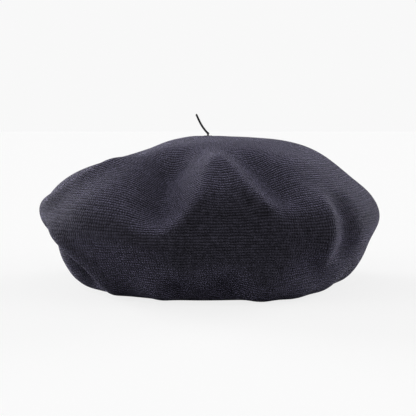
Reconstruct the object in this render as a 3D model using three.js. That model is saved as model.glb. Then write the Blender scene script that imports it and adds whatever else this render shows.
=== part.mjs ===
// A soft one-piece knitted beret with a short stalk on its crown, resting on its head opening.
// Millimetres, +Z up. The front of the hat faces -Y and +X is to its right as seen from the front.
// Places on the knitted shell are given as an azimuth in degrees (0 at the front, growing towards +X)
// and a run: the length of cloth, in millimetres, from the centre of the crown down to that place.
import * as THREE from 'three';

// ---------------------------------------------------------------- driving dimensions

const KNIT_THICKNESS = 1.8;
const EYELET_RADIUS = 1.8; // the opening in the middle of the crown that the stalk comes through
const CROWN_TOP = 121.8;
const HEM_RADIUS = 89.2; // head side of the turned-up hem
const HEM_TOP = 24;
const GAP = 0.35; // air between pieces that touch on the real hat

// The knitted shell in section, as [radius, height]: crown, rim, underside, resting edge, turned-up hem.
const SHELL_OUTLINE = [
  [EYELET_RADIUS, CROWN_TOP], [14, 121.9], [36, 120.2], [60, 115.8], [84, 107.4], [104, 96.6],
  [121, 83.5], [134, 70], [141.2, 57.5], [141, 45], [133.5, 30], [123, 15.5], [114, 6], [106, 1.6],
  [99, 0.2], [95.2, 0], [91.8, 0], [90, 0.7], [HEM_RADIUS, 2.6], [HEM_RADIUS, 13], [HEM_RADIUS, HEM_TOP],
];
const RESTING_KNOT = 14; // the outline is round and free of folds from this point on
const AROUND = 72; // steps around the shell

// The front falls as a flat, slightly leaning panel.
const FRONT_PANEL = { azimuth: 9, lean: 3, distance: 128, softness: 12 };

// Broad swellings and hollows of the cloth: azimuth, run, height, reach across, reach along.
const LOBES = [
  [92, 85, 4.5, 60, 36], // fuller right side
  [-75, 90, -6, 60, 50], // lower left side
  [-42, 150, 5, 32, 40], // front left bulge
  [42, 100, 3, 26, 18], // front right bulge
  [-92, 188, -12, 50, 26], // tucked under on the left
  [-74, 190, -3, 16, 12],
  [-75, 153, 5, 16, 14], // the left tip
  [85, 148, 3, 30, 20],
  [76, 182, -4, 26, 14],
  [-94, 130, 4, 30, 36], // the back shows over the front left bulge
  [-90, 56, -3, 30, 20],
  [-115, 85, -3, 40, 36],
  [-11, 218, -6, 9, 11], // dimple low on the front
  [112, 150, 2, 30, 40],
  [160, 135, 5, 34, 40],
  [-160, 150, 4, 36, 40],
];

// Folds that run down the cloth: route as [azimuth, run] points, height (a valley is below zero), width.
// Each fold fades in and out over this share of its route.
const FOLD_FADE = 0.3;
const FOLDS = [
  { route: [[1, 62], [4, 92], [9, 112], [14, 135], [20, 158], [30, 178]], height: 7, width: 9 },
  { route: [[1, 80], [1, 106], [-1, 125], [-4, 148], [-12, 180]], height: 6, width: 9 },
  { route: [[-25, 56], [-20, 90], [-18, 118], [-16, 146], [-17, 178]], height: -17, width: 18 },
  { route: [[20, 70], [22, 100], [24, 125], [29, 155]], height: -8, width: 12 },
  { route: [[-47, 72], [-50, 100], [-55, 125], [-64, 150], [-76, 176]], height: 8, width: 12 },
  { route: [[-60, 50], [-67, 85], [-71, 112], [-77, 140]], height: -8, width: 12 },
  { route: [[44, 128], [39.5, 150], [38.5, 170], [38.5, 188], [41, 206]], height: 6, width: 7 },
  { route: [[51, 130], [48, 165], [50, 200]], height: -6, width: 10 },
  { route: [[-64, 156], [-55, 168], [-47, 178], [-41, 193], [-36, 214], [-33, 236]], height: 7, width: 7 },
  { route: [[-80, 160], [-68, 176], [-58, 192], [-51, 210], [-46, 234]], height: -14, width: 11 },
  { route: [[28, 176], [25, 200], [23, 224]], height: 2, width: 12 },
  { route: [[38, 188], [36, 215]], height: -2, width: 12 },
  { route: [[-12, 185], [-6, 205], [-1, 222]], height: 3, width: 9 },
  { route: [[112, 110], [106, 160], [104, 200]], height: 3, width: 12 },
  { route: [[134, 80], [130, 130], [126, 190]], height: -5, width: 14 },
  { route: [[176, 60], [182, 110], [188, 165]], height: 5, width: 12 },
  { route: [[160, 90], [166, 140], [170, 200]], height: -4, width: 13 },
  { route: [[-150, 70], [-146, 120], [-140, 190]], height: -6, width: 15 },
  { route: [[-128, 110], [-124, 140], [-120, 180]], height: 3, width: 11 },
];

// Gathers above the resting edge: azimuth, height, half width in degrees.
const GATHERS = [
  [-70, -1, 6], [-53, -8, 6], [-40, 3, 5], [-30, -1, 6], [-16, 5, 7], [5, -5, 7], [20, 6, 7], [34, 6, 9],
  [50, 3, 9], [66, -2, 8], [84, 2, 9], [104, -2, 9], [126, 2.5, 8], [148, -2.5, 8], [170, 2, 9],
  [192, -2.5, 8], [214, 2, 8], [234, -2.5, 8], [254, 2.5, 8], [272, -3, 7],
];

// Sweatband, elastic and labels.
const BAND = { inner: 87.8, outer: 88.8, low: 1.5, high: 27 };
const ELASTIC = { inner: 91.6, outer: 92.8, low: 2.4, high: 10.4 };
const THREAD_RADIUS = 0.25;
const BACK = 180; // azimuth of the centre back

// Stalk: its root pivot stands just above the crown, and its middle line is given from there.
const STALK_RADIUS = 0.9;
const STALK_PIVOT = CROWN_TOP + 2.2;
const STALK_ROUTE = [[0, 0, 0], [-2.6, 0, 2.9], [-5.9, 0, 7.8], [-9.6, 0, 15.4]];

// ---------------------------------------------------------------- materials

function finish(color, roughness, metalness = 0) {
  return new THREE.MeshStandardMaterial({ color, roughness, metalness });
}

const knit = finish(0x37353f, 0.95);
const elasticTape = finish(0x1d1c22, 0.8);
const grosgrain = finish(0x15141a, 0.7);
const thread = finish(0x24222b, 0.75);
const labelCloth = finish(0x8d8a94, 0.6);
const tagCloth = finish(0xd9d6d0, 0.5);
const felt = finish(0x1f1d26, 0.95);
const lace = finish(0x0c0b0e, 0.55);

// ---------------------------------------------------------------- helpers

const radians = THREE.MathUtils.degToRad;
const part = new THREE.Group();

function addPiece(name, geometry, material) {
  const mesh = new THREE.Mesh(geometry, material);
  mesh.name = name;
  part.add(mesh);
}

// Angle in the XY plane, from +X, of an azimuth.
function planeAngle(azimuth) {
  return radians(azimuth - 90);
}

function aroundAxis(radius, azimuth, height) {
  const angle = planeAngle(azimuth);
  return new THREE.Vector3(radius * Math.cos(angle), radius * Math.sin(angle), height);
}

// Solid of revolution about Z. The section runs anticlockwise, as [radius, height], and closes on itself.
function turned(section, segments) {
  const points = section.map(([radius, height]) => new THREE.Vector2(radius, height));
  points.push(points[0].clone());
  const solid = new THREE.LatheGeometry(points, segments);
  solid.rotateX(Math.PI / 2);
  return solid;
}

// A ring of thread lying round the axis.
function threadRing(radius, height, segments, sides = 6) {
  const section = [];
  for (let side = 0; side < sides; side += 1) {
    const angle = (side / sides) * 2 * Math.PI;
    section.push([radius + THREAD_RADIUS * Math.cos(angle), height + THREAD_RADIUS * Math.sin(angle)]);
  }
  return turned(section, segments);
}

// A curved strip standing on edge round the axis, from one azimuth to another, with two steps per segment.
function curvedStrip({ inner, outer, low, high }, fromAzimuth, toAzimuth, segments) {
  const outline = new THREE.Shape();
  outline.absarc(0, 0, outer, planeAngle(fromAzimuth), planeAngle(toAzimuth), false);
  outline.absarc(0, 0, inner, planeAngle(toAzimuth), planeAngle(fromAzimuth), true);
  const options = { depth: high - low, bevelEnabled: false, curveSegments: segments };
  return new THREE.ExtrudeGeometry(outline, options).translate(0, 0, low);
}

// A round bar that follows a curve.
function barAlong(points, radius, steps, sides = 6) {
  const section = new THREE.Shape();
  section.absarc(0, 0, radius, 0, 2 * Math.PI, false);
  const options = {
    steps, bevelEnabled: false, curveSegments: sides / 2, extrudePath: new THREE.CatmullRomCurve3(points),
  };
  return new THREE.ExtrudeGeometry(section, options);
}

// ---------------------------------------------------------------- the knitted shell's surface

const outlinePoints = SHELL_OUTLINE.map(([radius, height]) => new THREE.Vector2(radius, height));
const outline = new THREE.SplineCurve(outlinePoints);
const KNOTS = SHELL_OUTLINE.length - 1;
outline.arcLengthDivisions = KNOTS * 20;
const lengths = outline.getLengths();

function knotRun(knot) {
  return lengths[knot * 20] + EYELET_RADIUS;
}

const RESTING_RUN = knotRun(RESTING_KNOT);

// Point of the section and the direction that faces out of the cloth there.
function sectionAt(run) {
  const share = THREE.MathUtils.clamp((run - EYELET_RADIUS) / lengths[lengths.length - 1], 0, 1);
  const point = outline.getPointAt(share);
  const tangent = outline.getTangentAt(share);
  return { radius: point.x, height: point.y, outRadius: -tangent.y, outHeight: tangent.x };
}

function turnBetween(from, to) {
  return THREE.MathUtils.euclideanModulo(to - from + 180, 360) - 180;
}

function bell(distance, reach) {
  return Math.exp(-((distance / reach) ** 2));
}

// Distance across the cloth from a place to a fold's route, and how far along the route that is, from 0 to 1.
function placeByRoute(azimuth, run, radius, route) {
  const perDegree = radians(1) * radius;
  const legs = route.length - 1;
  let nearest = Infinity;
  let reached = 0;
  for (let i = 0; i < legs; i += 1) {
    const [startAzimuth, startRun] = route[i];
    const [endAzimuth, endRun] = route[i + 1];
    const place = new THREE.Vector2(turnBetween(startAzimuth, azimuth) * perDegree, run - startRun);
    const leg = new THREE.Vector2(turnBetween(startAzimuth, endAzimuth) * perDegree, endRun - startRun);
    const share = THREE.MathUtils.clamp(place.dot(leg) / leg.lengthSq(), 0, 1);
    const distance = place.distanceTo(leg.multiplyScalar(share));
    if (distance < nearest) {
      nearest = distance;
      reached = (i + share) / legs;
    }
  }
  return { nearest, reached };
}

// How far the cloth stands out of its plain round shape.
function foldHeight(azimuth, run, radius) {
  let height = 0;
  for (const [lobeAzimuth, lobeRun, rise, across, along] of LOBES) {
    const sideways = turnBetween(lobeAzimuth, azimuth) * radians(1) * radius;
    height += rise * bell(sideways, across) * bell(run - lobeRun, along);
  }
  for (const fold of FOLDS) {
    const { nearest, reached } = placeByRoute(azimuth, run, radius, fold.route);
    const starts = THREE.MathUtils.smoothstep(reached, 0, FOLD_FADE);
    const ends = THREE.MathUtils.smoothstep(1 - reached, 0, FOLD_FADE);
    const sharpness = fold.height > 0 ? 1.3 : 2;
    height += fold.height * starts * ends * Math.exp(-((nearest / fold.width) ** sharpness));
  }
  for (const [gatherAzimuth, rise, halfWidth] of GATHERS) {
    height += rise * bell(turnBetween(gatherAzimuth, azimuth), halfWidth) * bell(run - RESTING_RUN + 22, 16);
  }
  return height;
}

// Smaller of two lengths, with a rounded change from one to the other.
function softMin(a, b, softness) {
  const share = THREE.MathUtils.clamp(0.5 + (0.5 * (b - a)) / softness, 0, 1);
  return b * (1 - share) + a * share - softness * share * (1 - share);
}

// A point of the shell, or of a layer that lies at a depth below its outer face.
function shellPoint(azimuth, run, depth) {
  const { radius, height, outRadius, outHeight } = sectionAt(run);
  const out = aroundAxis(outRadius, azimuth, outHeight);
  const point = aroundAxis(radius, azimuth, height).addScaledVector(out, -depth);
  const free = 1 - THREE.MathUtils.smoothstep(run, RESTING_RUN - 14, RESTING_RUN);
  const lean = radians(FRONT_PANEL.lean);
  const facing = aroundAxis(Math.cos(lean), FRONT_PANEL.azimuth, Math.sin(lean));
  const reach = point.dot(facing) - 60 * Math.sin(lean);
  const kept = softMin(reach, FRONT_PANEL.distance - depth, FRONT_PANEL.softness);
  point.addScaledVector(facing, free * (kept - reach));
  const settled = free * THREE.MathUtils.smoothstep(run, 6, 26);
  point.addScaledVector(out, settled * foldHeight(azimuth, run, radius));
  point.z = Math.max(point.z, depth);
  return point;
}

// ---------------------------------------------------------------- pieces

// The knitted shell: outer skin down to the top of the hem, then back along the inner skin.
function knitBody() {
  const positions = [];
  const rings = [];
  for (let knot = 0; knot <= KNOTS; knot += 1) {
    rings.push({ run: knotRun(knot), depth: 0 });
  }
  for (let knot = KNOTS; knot >= 0; knot -= 1) {
    rings.push({ run: knotRun(knot), depth: KNIT_THICKNESS });
  }
  for (let step = 0; step < AROUND; step += 1) {
    for (const { run, depth } of rings) {
      positions.push(...shellPoint((step * 360) / AROUND, run, depth));
    }
  }
  const index = [];
  for (let step = 0; step < AROUND; step += 1) {
    const here = step * rings.length;
    const next = ((step + 1) % AROUND) * rings.length;
    for (let ring = 0; ring < rings.length; ring += 1) {
      const following = (ring + 1) % rings.length;
      index.push(here + ring, here + following, next + following);
      index.push(here + ring, next + following, next + ring);
    }
  }
  const solid = new THREE.BufferGeometry();
  solid.setAttribute('position', new THREE.Float32BufferAttribute(positions, 3));
  solid.setIndex(index);
  return solid;
}

// Thread that closes the knitted tube, along the inside of the centre back from knot to knot of the outline.
function closingSeam() {
  const depth = KNIT_THICKNESS + 2 * GAP + THREAD_RADIUS;
  const points = [];
  for (let knot = 2; knot < RESTING_KNOT - 1; knot += 1) {
    const start = shellPoint(BACK, knotRun(knot), depth);
    const end = shellPoint(BACK, knotRun(knot + 1), depth);
    for (let j = 0; j < 3; j += 1) {
      points.push(start.clone().lerp(end, j / 3));
    }
  }
  return barAlong(points, THREAD_RADIUS, 60);
}

function sweatband() {
  return curvedStrip(BAND, BACK + 0.4, BACK + 359.6, 32);
}

function hemElastic() {
  return curvedStrip(ELASTIC, BACK + 0.3, BACK + 359.7, 32);
}

// Zigzag thread that holds the elastic, as the plain ring that it fills.
function elasticZigzag() {
  const inner = ELASTIC.outer + GAP;
  return curvedStrip({ inner, outer: inner + 0.5, low: 4, high: 8.8 }, BACK + 3, BACK + 357, 30);
}

// Thread bar across the two ends of the elastic.
function elasticBartack() {
  const inner = ELASTIC.outer + GAP;
  return curvedStrip({ inner, outer: inner + 0.6, low: 3.4, high: 9.4 }, BACK - 0.9, BACK + 0.9, 1);
}

const MAKER_LABEL = { inner: BAND.inner - 0.95, outer: BAND.inner - GAP, low: 5, high: 23.5, half: 15 };

function makerLabel() {
  return curvedStrip(MAKER_LABEL, BACK - MAKER_LABEL.half, BACK + MAKER_LABEL.half, 6);
}

// One line of thread round the edge of the maker's label, 1.6 mm in from it.
function makerLabelStitching() {
  const radius = MAKER_LABEL.inner - GAP - THREAD_RADIUS;
  const inset = 1.6;
  const halfTurn = MAKER_LABEL.half - THREE.MathUtils.radToDeg(inset / radius);
  const low = MAKER_LABEL.low + inset;
  const high = MAKER_LABEL.high - inset;
  const corners = [
    [0.5, high], [halfTurn, high], [halfTurn, low], [-halfTurn, low], [-halfTurn, high], [-0.5, high],
  ];
  const points = [];
  for (let i = 0; i < corners.length - 1; i += 1) {
    const [startTurn, startHeight] = corners[i];
    const [endTurn, endHeight] = corners[i + 1];
    const pieces = startHeight === endHeight ? 8 : 4;
    for (let j = 0; j < pieces; j += 1) {
      const share = (j + 0.2) / pieces;
      const turn = THREE.MathUtils.lerp(startTurn, endTurn, share);
      points.push(aroundAxis(radius, BACK + turn, THREE.MathUtils.lerp(startHeight, endHeight, share)));
    }
  }
  return barAlong(points, THREAD_RADIUS, 64);
}

// A label that hangs from a thread bar at its top edge, flat against the sweatband.
const HANGING_LABELS = {
  care_label: { azimuth: 150, width: 20, length: 19, thickness: 0.7, distance: 86.3 },
  size_tab: { azimuth: 203, width: 12, length: 11, thickness: 0.8, distance: 86.5 },
};
const LABEL_HINGE = 25.6;

function hangingLabel({ azimuth, width, length, thickness, distance }) {
  const top = LABEL_HINGE - THREAD_RADIUS - GAP;
  const plate = new THREE.BoxGeometry(width, thickness, length);
  plate.translate(0, -distance, top - length / 2);
  return plate.rotateZ(radians(azimuth));
}

function labelBar({ azimuth, width, distance }) {
  const bar = new THREE.CylinderGeometry(THREAD_RADIUS, THREAD_RADIUS, width - 1.5, 8);
  bar.rotateZ(Math.PI / 2);
  bar.translate(0, -distance, LABEL_HINGE);
  return bar.rotateZ(radians(azimuth));
}

const BACKING = { hole: 1.3, radius: 12, low: CROWN_TOP - 3.4, high: CROWN_TOP - 2.2 };

function crownBacking() {
  const { hole, radius, low, high } = BACKING;
  return turned([[hole, low], [radius, low], [radius, high], [hole, high]], 40);
}

function backingStitching() {
  return threadRing(BACKING.radius - 1.8, BACKING.low - GAP - THREAD_RADIUS, 32);
}

function eyeletThread() {
  return threadRing(EYELET_RADIUS + 0.9, CROWN_TOP + GAP + THREAD_RADIUS + 0.1, 20, 8);
}

// Knot inside the crown, with the neck of lace that comes up through the eyelet.
function stalkKnot() {
  const knotRadius = 2.6;
  const centre = BACKING.low - 3.4;
  const section = [[0, STALK_PIVOT - 1.5], [0, centre - knotRadius]];
  for (let step = 1; step < 8; step += 1) {
    const angle = -Math.PI / 2 + (step / 8) * 0.9 * Math.PI;
    section.push([knotRadius * Math.cos(angle), centre + knotRadius * Math.sin(angle)]);
  }
  section.push([STALK_RADIUS, centre + knotRadius], [STALK_RADIUS, STALK_PIVOT - 1.5]);
  return turned(section, 16);
}

function stalkRoot() {
  return new THREE.SphereGeometry(1.1, 14, 10).translate(0, 0, STALK_PIVOT);
}

function stalk() {
  const route = new THREE.CatmullRomCurve3(STALK_ROUTE.map((place) => new THREE.Vector3(...place)));
  const points = [];
  for (let i = 0; i <= 10; i += 1) {
    const place = route.getPointAt(THREE.MathUtils.lerp(0.085, 1, i / 10));
    place.z += STALK_PIVOT;
    points.push(place);
  }
  return barAlong(points, STALK_RADIUS, 14, 10);
}

// ---------------------------------------------------------------- assembly

addPiece('knit_body', knitBody(), knit);
addPiece('closing_seam_thread', closingSeam(), thread);
addPiece('hem_elastic', hemElastic(), elasticTape);
addPiece('elastic_zigzag_thread', elasticZigzag(), thread);
addPiece('elastic_bartack', elasticBartack(), thread);
addPiece('sweatband', sweatband(), grosgrain);
addPiece('sweatband_stitching', threadRing(BAND.inner - GAP - THREAD_RADIUS, 3.4, 64), thread);
addPiece('maker_label', makerLabel(), labelCloth);
addPiece('maker_label_stitching', makerLabelStitching(), thread);
for (const [name, label] of Object.entries(HANGING_LABELS)) {
  addPiece(name, hangingLabel(label), tagCloth);
  addPiece(`${name}_stitch`, labelBar(label), thread);
}
addPiece('crown_backing', crownBacking(), felt);
addPiece('backing_stitching', backingStitching(), thread);
addPiece('eyelet_thread', eyeletThread(), thread);
addPiece('stalk_knot', stalkKnot(), lace);
addPiece('stalk_root', stalkRoot(), lace);
addPiece('stalk', stalk(), lace);

// The origin is the middle of the underside of the whole hat's box.
const box = new THREE.Box3().setFromObject(part, true);
const middle = box.getCenter(new THREE.Vector3());
part.position.set(-middle.x, -middle.y, -box.min.z);
part.updateMatrixWorld(true);

export default part;
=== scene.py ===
"""A soft one-piece knitted beret with a short stalk, lying on its head opening on a pale studio floor.

Places on the knitted shell are an azimuth in degrees (0 at the front, growing towards +X) and a run:
the length of cloth from the centre of the crown down to that place. The hat's own sizes are in
millimetres, and every mesh is made in metres.
"""

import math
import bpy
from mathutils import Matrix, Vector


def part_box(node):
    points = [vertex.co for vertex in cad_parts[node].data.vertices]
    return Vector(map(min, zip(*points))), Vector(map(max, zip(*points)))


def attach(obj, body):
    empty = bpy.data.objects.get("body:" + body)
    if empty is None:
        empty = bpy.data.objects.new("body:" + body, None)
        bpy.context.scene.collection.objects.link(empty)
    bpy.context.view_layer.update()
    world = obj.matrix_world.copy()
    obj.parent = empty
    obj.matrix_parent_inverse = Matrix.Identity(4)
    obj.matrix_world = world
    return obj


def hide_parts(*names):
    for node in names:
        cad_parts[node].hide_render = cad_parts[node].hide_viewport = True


bl_info = {
    "name": "Knitted Beret",
    "version": (1, 0, 0),
    "blender": (4, 5, 0),
    "location": "3D View > Sidebar > Beret",
    "description": "Builds a knitted beret with its inner ribbon, labels and stalk",
    "category": "Add Mesh",
}

import bmesh
import bpy
from bpy.props import FloatProperty, FloatVectorProperty, IntProperty, PointerProperty
from mathutils import Matrix, Vector

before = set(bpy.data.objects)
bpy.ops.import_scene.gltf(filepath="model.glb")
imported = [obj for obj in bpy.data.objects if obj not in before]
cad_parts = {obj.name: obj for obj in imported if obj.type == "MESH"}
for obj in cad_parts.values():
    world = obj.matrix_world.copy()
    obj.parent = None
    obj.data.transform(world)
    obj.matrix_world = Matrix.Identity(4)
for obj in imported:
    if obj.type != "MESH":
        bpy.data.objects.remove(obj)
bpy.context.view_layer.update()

MM = 0.001
ROUND = 2 * math.pi


def middle_of(node):
    """Middle of a CAD node's box."""
    low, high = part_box(node)
    return (low + high) / 2


# The hat's axis stands at the middle of the round felt disc inside the crown.
AXIS = Vector((middle_of("crown_backing").x, middle_of("crown_backing").y, 0))

# ------------------------------------------------------------------ the knitted shell's shape

EYELET_RADIUS = 1.8
CROWN_TOP = 121.8
HEM_RADIUS = 89.2
HEM_TOP = 24
GAP = 0.35

# The shell in section, as (radius, height): crown, rim, underside, resting edge, turned-up hem.
SHELL_OUTLINE = [
    (EYELET_RADIUS, CROWN_TOP), (14, 121.9), (36, 120.2), (60, 115.8), (84, 107.4), (104, 96.6),
    (121, 83.5), (134, 70), (141.2, 57.5), (141, 45), (133.5, 30), (123, 15.5), (114, 6), (106, 1.6),
    (99, 0.2), (95.2, 0), (91.8, 0), (90, 0.7), (HEM_RADIUS, 2.6), (HEM_RADIUS, 13), (HEM_RADIUS, HEM_TOP),
]
RESTING_KNOT = 14  # the outline is round and free of folds from this point on

# The front falls as a flat, slightly leaning panel.
PANEL_AZIMUTH = 9
PANEL_LEAN = 3
PANEL_DISTANCE = 128
PANEL_SOFTNESS = 12
PANEL_HEIGHT = 60  # where the panel stands at its distance

# Broad swellings and hollows of the cloth: azimuth, run, height, reach across, reach along.
LOBES = [
    (92, 85, 4.5, 60, 36),  # fuller right side
    (-75, 90, -6, 60, 50),  # lower left side
    (-42, 150, 5, 32, 40),  # front left bulge
    (42, 100, 3, 26, 18),  # front right bulge
    (-92, 188, -12, 50, 26),  # tucked under on the left
    (-74, 190, -3, 16, 12),
    (-75, 153, 5, 16, 14),  # the left tip
    (85, 148, 3, 30, 20),
    (76, 182, -4, 26, 14),
    (-94, 130, 4, 30, 36),  # the back shows over the front left bulge
    (-90, 56, -3, 30, 20),
    (-115, 85, -3, 40, 36),
    (-11, 218, -6, 9, 11),  # dimple low on the front
    (112, 150, 2, 30, 40),
    (160, 135, 5, 34, 40),
    (-160, 150, 4, 36, 40),
]

# Folds that run down the cloth: height (a valley is below zero), width, and route as (azimuth, run).
# Each fold fades in and out over this share of its route, and a ridge has a sharper crest than a valley.
FOLD_FADE = 0.3
RIDGE_POWER = 1.3
VALLEY_POWER = 2
FOLDS = [
    (7, 9, [(1, 62), (4, 92), (9, 112), (14, 135), (20, 158), (30, 178)]),
    (6, 9, [(1, 80), (1, 106), (-1, 125), (-4, 148), (-12, 180)]),
    (-17, 18, [(-25, 56), (-20, 90), (-18, 118), (-16, 146), (-17, 178)]),
    (-8, 12, [(20, 70), (22, 100), (24, 125), (29, 155)]),
    (8, 12, [(-47, 72), (-50, 100), (-55, 125), (-64, 150), (-76, 176)]),
    (-8, 12, [(-60, 50), (-67, 85), (-71, 112), (-77, 140)]),
    (6, 7, [(44, 128), (39.5, 150), (38.5, 170), (38.5, 188), (41, 206)]),
    (-6, 10, [(51, 130), (48, 165), (50, 200)]),
    (7, 7, [(-64, 156), (-55, 168), (-47, 178), (-41, 193), (-36, 214), (-33, 236)]),
    (-14, 11, [(-80, 160), (-68, 176), (-58, 192), (-51, 210), (-46, 234)]),
    (2, 12, [(28, 176), (25, 200), (23, 224)]),
    (-2, 12, [(38, 188), (36, 215)]),
    (3, 9, [(-12, 185), (-6, 205), (-1, 222)]),
    (3, 12, [(112, 110), (106, 160), (104, 200)]),
    (-5, 14, [(134, 80), (130, 130), (126, 190)]),
    (5, 12, [(176, 60), (182, 110), (188, 165)]),
    (-4, 13, [(160, 90), (166, 140), (170, 200)]),
    (-6, 15, [(-150, 70), (-146, 120), (-140, 190)]),
    (3, 11, [(-128, 110), (-124, 140), (-120, 180)]),
]

# Gathers above the resting edge: azimuth, height, half width in degrees. Their middles lie at one run
# above that edge, with one reach along the cloth.
GATHER_ABOVE = 22
GATHER_REACH = 16
GATHERS = [
    (-70, -1, 6), (-53, -8, 6), (-40, 3, 5), (-30, -1, 6), (-16, 5, 7), (5, -5, 7), (20, 6, 7), (34, 6, 9),
    (50, 3, 9), (66, -2, 8), (84, 2, 9), (104, -2, 9), (126, 2.5, 8), (148, -2.5, 8), (170, 2, 9),
    (192, -2.5, 8), (214, 2, 8), (234, -2.5, 8), (254, 2.5, 8), (272, -3, 7),
]

# Folds fade out between these runs near the crown's centre, and over this run above the resting edge.
CROWN_FADE = (6, 26)
HEM_FADE = 14

BACK = 180


def turn_between(start, end):
    """Signed turn from one azimuth to another, in degrees."""
    return (end - start + 180) % 360 - 180


def bell(distance, reach):
    return math.exp(-((distance / reach) ** 2))


def smooth_step(value, low, high):
    share = min(max((value - low) / (high - low), 0), 1)
    return share * share * (3 - 2 * share)


def soft_min(a, b, softness):
    """Smaller of two lengths, with a rounded change from one to the other."""
    share = min(max(0.5 + 0.5 * (b - a) / softness, 0), 1)
    return b * (1 - share) + a * share - softness * share * (1 - share)


def spline(points, legs):
    """Points of a smooth curve through the given points, with so many legs between two of them."""
    points = [Vector(point) for point in points]
    found = []
    for i in range(len(points) - 1):
        before = points[max(i - 1, 0)]
        start, end = points[i], points[i + 1]
        after = points[min(i + 2, len(points) - 1)]
        leave, arrive = (end - before) / 2, (after - start) / 2
        for j in range(legs):
            t = j / legs
            found.append(
                (2 * start - 2 * end + leave + arrive) * t**3
                + (3 * end - 3 * start - 2 * leave - arrive) * t**2
                + leave * t
                + start
            )
    found.append(points[-1])
    return found


class Section:
    """The shell's outline as a smooth curve that can be read at any run of cloth."""

    legs = 20

    def __init__(self):
        self.points = spline(SHELL_OUTLINE, self.legs)
        self.runs = [EYELET_RADIUS]
        for start, end in zip(self.points, self.points[1:]):
            self.runs.append(self.runs[-1] + (end - start).length)
        self.resting_run = self.runs[RESTING_KNOT * self.legs]
        self.end_run = self.runs[-1]
        self.rim_radius = max(point.x for point in self.points)
        self.area = sum(
            math.pi * (start.x + end.x) * (end - start).length
            for start, end in zip(self.points, self.points[1:])
        )

    def at(self, run):
        """Point (radius, height) and the direction out of the cloth there."""
        low, high = 0, len(self.runs) - 2
        while low < high:
            middle = (low + high + 1) // 2
            if self.runs[middle] <= run:
                low = middle
            else:
                high = middle - 1
        start, end = self.points[low], self.points[low + 1]
        share = (run - self.runs[low]) / (self.runs[low + 1] - self.runs[low])
        before = self.points[max(low - 1, 0)]
        after = self.points[min(low + 2, len(self.points) - 1)]
        along = ((end - before) * (1 - share) + (after - start) * share).normalized()
        return start.lerp(end, share), Vector((-along.y, along.x))


SECTION = Section()


def around_axis(radius, azimuth, height):
    """Point in the hat's own frame, in millimetres."""
    angle = math.radians(azimuth - 90)
    return Vector((radius * math.cos(angle), radius * math.sin(angle), height))


def to_row(point):
    """A point of the hat's own frame, in millimetres, as a place in the row frame, in metres."""
    return AXIS + point * MM


def place_by_route(azimuth, run, radius, route):
    """Distance across the cloth from a place to a fold's route, and the share of the route reached there."""
    per_degree = math.radians(1) * radius
    nearest, reached = math.inf, 0
    legs = len(route) - 1
    for i, ((start_azimuth, start_run), (end_azimuth, end_run)) in enumerate(zip(route, route[1:])):
        x, y = turn_between(start_azimuth, azimuth) * per_degree, run - start_run
        leg_x, leg_y = turn_between(start_azimuth, end_azimuth) * per_degree, end_run - start_run
        share = (x * leg_x + y * leg_y) / (leg_x * leg_x + leg_y * leg_y)
        share = min(max(share, 0), 1)
        distance = math.hypot(x - share * leg_x, y - share * leg_y)
        if distance < nearest:
            nearest, reached = distance, (i + share) / legs
    return nearest, reached


def fold_height(azimuth, run, radius):
    """How far the cloth stands out of its plain round shape."""
    height = 0
    for lobe_azimuth, lobe_run, rise, across, along in LOBES:
        sideways = turn_between(lobe_azimuth, azimuth) * math.radians(1) * radius
        height += rise * bell(sideways, across) * bell(run - lobe_run, along)
    for rise, width, route in FOLDS:
        distance, reached = place_by_route(azimuth, run, radius, route)
        fade = smooth_step(reached, 0, FOLD_FADE) * smooth_step(1 - reached, 0, FOLD_FADE)
        power = RIDGE_POWER if rise > 0 else VALLEY_POWER
        height += rise * fade * math.exp(-((distance / width) ** power))
    for gather_azimuth, rise, half_width in GATHERS:
        sideways = turn_between(gather_azimuth, azimuth)
        upwards = bell(run - SECTION.resting_run + GATHER_ABOVE, GATHER_REACH)
        height += rise * bell(sideways, half_width) * upwards
    return height


def shell_point(azimuth, run, depth=0.0):
    """A point of the shell's outer face, or at a depth below it, in the hat's own frame."""
    (radius, height), (out_radius, out_height) = SECTION.at(run)
    out = around_axis(out_radius, azimuth, out_height)
    point = around_axis(radius, azimuth, height) - out * depth
    free = 1 - smooth_step(run, SECTION.resting_run - HEM_FADE, SECTION.resting_run)
    lean = math.radians(PANEL_LEAN)
    facing = around_axis(math.cos(lean), PANEL_AZIMUTH, math.sin(lean))
    reach = point.dot(facing) - PANEL_HEIGHT * math.sin(lean)
    kept = soft_min(reach, PANEL_DISTANCE - depth, PANEL_SOFTNESS)
    point += facing * free * (kept - reach)
    settled = free * smooth_step(run, *CROWN_FADE)
    point += out * settled * fold_height(azimuth, run, radius)
    point.z = max(point.z, depth)
    return point


# ------------------------------------------------------------------ settings


def length_setting(name, description, millimetres, precision=4):
    return FloatProperty(
        name=name, description=description, default=millimetres * MM, precision=precision, unit="LENGTH"
    )


def colour_setting(name, description, default):
    return FloatVectorProperty(
        name=name, description=description, default=default, subtype="COLOR", size=3, min=0, max=1
    )


class ShellSettings(bpy.types.PropertyGroup):
    around: IntProperty(name="Steps around", description="Steps of the mesh around the axis", default=144)
    along: IntProperty(name="Steps along", description="Steps of the mesh from crown to hem", default=92)
    thickness: length_setting("Cloth thickness", "Thickness of the knitted cloth", 1.8)
    course_pitch: length_setting("Course pitch", "Distance between two courses of the knitting", 2.15)
    wales: IntProperty(name="Wales", description="Stitches in one full round of the rim", default=432)
    yarn_colour: colour_setting("Yarn colour", "Colour of the wool yarn", (0.036, 0.034, 0.048))


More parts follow.
